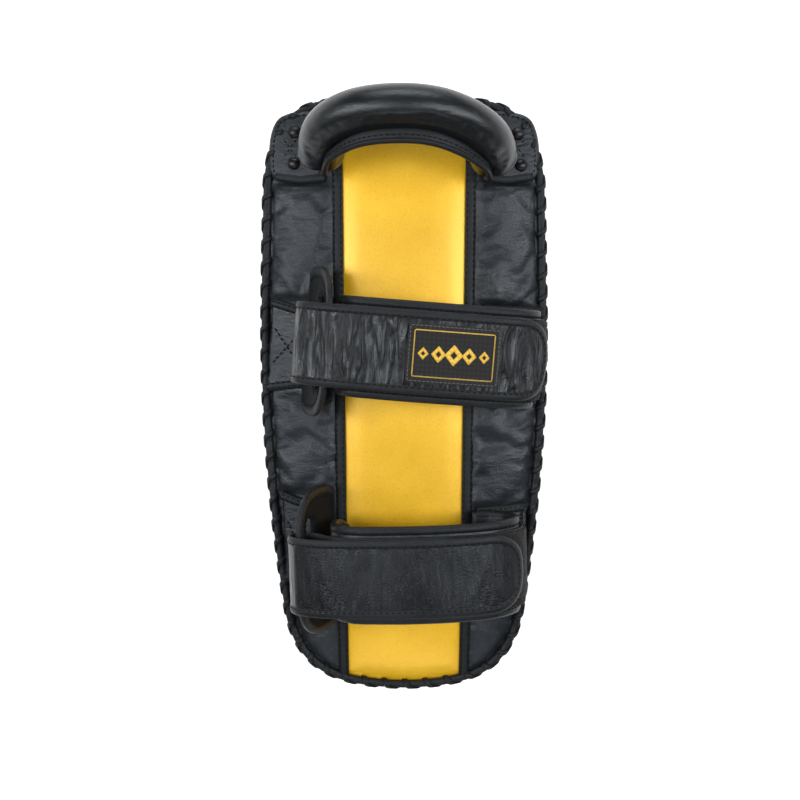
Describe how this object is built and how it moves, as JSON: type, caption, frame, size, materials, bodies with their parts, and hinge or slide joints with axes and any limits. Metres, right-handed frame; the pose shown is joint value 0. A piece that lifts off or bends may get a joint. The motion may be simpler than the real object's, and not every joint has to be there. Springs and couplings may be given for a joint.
{
  "type": "thai kick pad",
  "caption": "Long padded leather kick pad worn on the forearm, with a padded crescent grip and hook-and-loop forearm straps.",
  "frame": {"origin": "on the strike face's resting plane, under the middle of the pad's length and width", "axes": "+Z from the strike face to the arm side, +Y along the pad to the grip end, +X to the side where the straps close"},
  "size_m": [0.1968, 0.4078, 0.1574],
  "materials": {
    "black_leather": "black full-grain cow leather, soft satin, creased",
    "gold_leather": "satin metallic gold coated leather",
    "strap_leather": "black leather with strong crosswise wrinkles, semi-gloss",
    "piping_leather": "black binding leather, folded and stitched",
    "lace": "flat black leather lace",
    "lining": "soft dark olive lining",
    "webbing": "ribbed black webbing",
    "loop_pile": "black loop tape, fuzzy",
    "hook_tape": "black hook tape",
    "label": "black woven patch with a thin gold border",
    "strike_foam": "closed-cell foam, grey",
    "shock_foam": "dense crosslinked foam, blue",
    "core_foam": "soft foam, cream",
    "back_foam": "felted padding, tan",
    "board": "pressed fibre sheet, brown",
    "rivet_metal": "black lacquered steel"
  },
  "bodies": {
    "pad": {"strike_cover": "black_leather", "side_gusset": "black_leather", "front_welt": "piping_leather", "edge_binding": "piping_leather", "edge_lacing": "lace", "back_panel_left": "black_leather", "back_panel_centre": "gold_leather", "back_panel_right": "black_leather", "seam_binding_left": "piping_leather", "seam_binding_right": "piping_leather", "foam_strike_layer": "strike_foam", "foam_shock_layer": "shock_foam", "foam_core_layer": "core_foam", "foam_back_layer": "back_foam", "reinforcement_sheet": "board", "grip_cover": "black_leather", "grip_foam": "core_foam", "grip_webbing": "webbing", "grip_flange": "piping_leather", "grip_tab_left": "black_leather", "grip_tab_right": "black_leather", "rivet_1": "rivet_metal", "rivet_burr_1": "rivet_metal", "rivet_2": "rivet_metal", "rivet_burr_2": "rivet_metal", "rivet_3": "rivet_metal", "rivet_burr_3": "rivet_metal", "rivet_4": "rivet_metal", "rivet_burr_4": "rivet_metal", "upper_anchor_left": "black_leather", "upper_anchor_right": "black_leather", "upper_slot_tab": "black_leather", "upper_flap": "black_leather", "upper_flap_lining": "lining", "upper_closure_inner": "strap_leather", "upper_closure_fold": "strap_leather", "upper_loop_patch": "loop_pile", "lower_anchor_left": "black_leather", "lower_anchor_right": "black_leather", "lower_slot_tab": "black_leather", "lower_flap": "black_leather", "lower_flap_lining": "lining", "lower_closure_inner": "strap_leather", "lower_closure_fold": "strap_leather", "lower_loop_patch": "loop_pile"},
    "upper_closure": {"upper_closure_end": "strap_leather", "upper_hook_patch": "hook_tape", "upper_label_patch": "label"},
    "lower_closure": {"lower_closure_end": "strap_leather", "lower_hook_patch": "hook_tape"}
  },
  "joints": [
    {"name": "upper_closure_peel", "type": "hinge", "parent": "pad", "child": "upper_closure", "pos_m": [-0.05822, 0.04058, 0.14444], "axis": [-0.0785, -0.9969, 0], "range_deg": [0, 150]},
    {"name": "lower_closure_peel", "type": "hinge", "parent": "pad", "child": "lower_closure", "pos_m": [-0.06138, -0.10711, 0.14351], "axis": [0.0262, -0.9997, 0], "range_deg": [0, 150]}
  ]
}
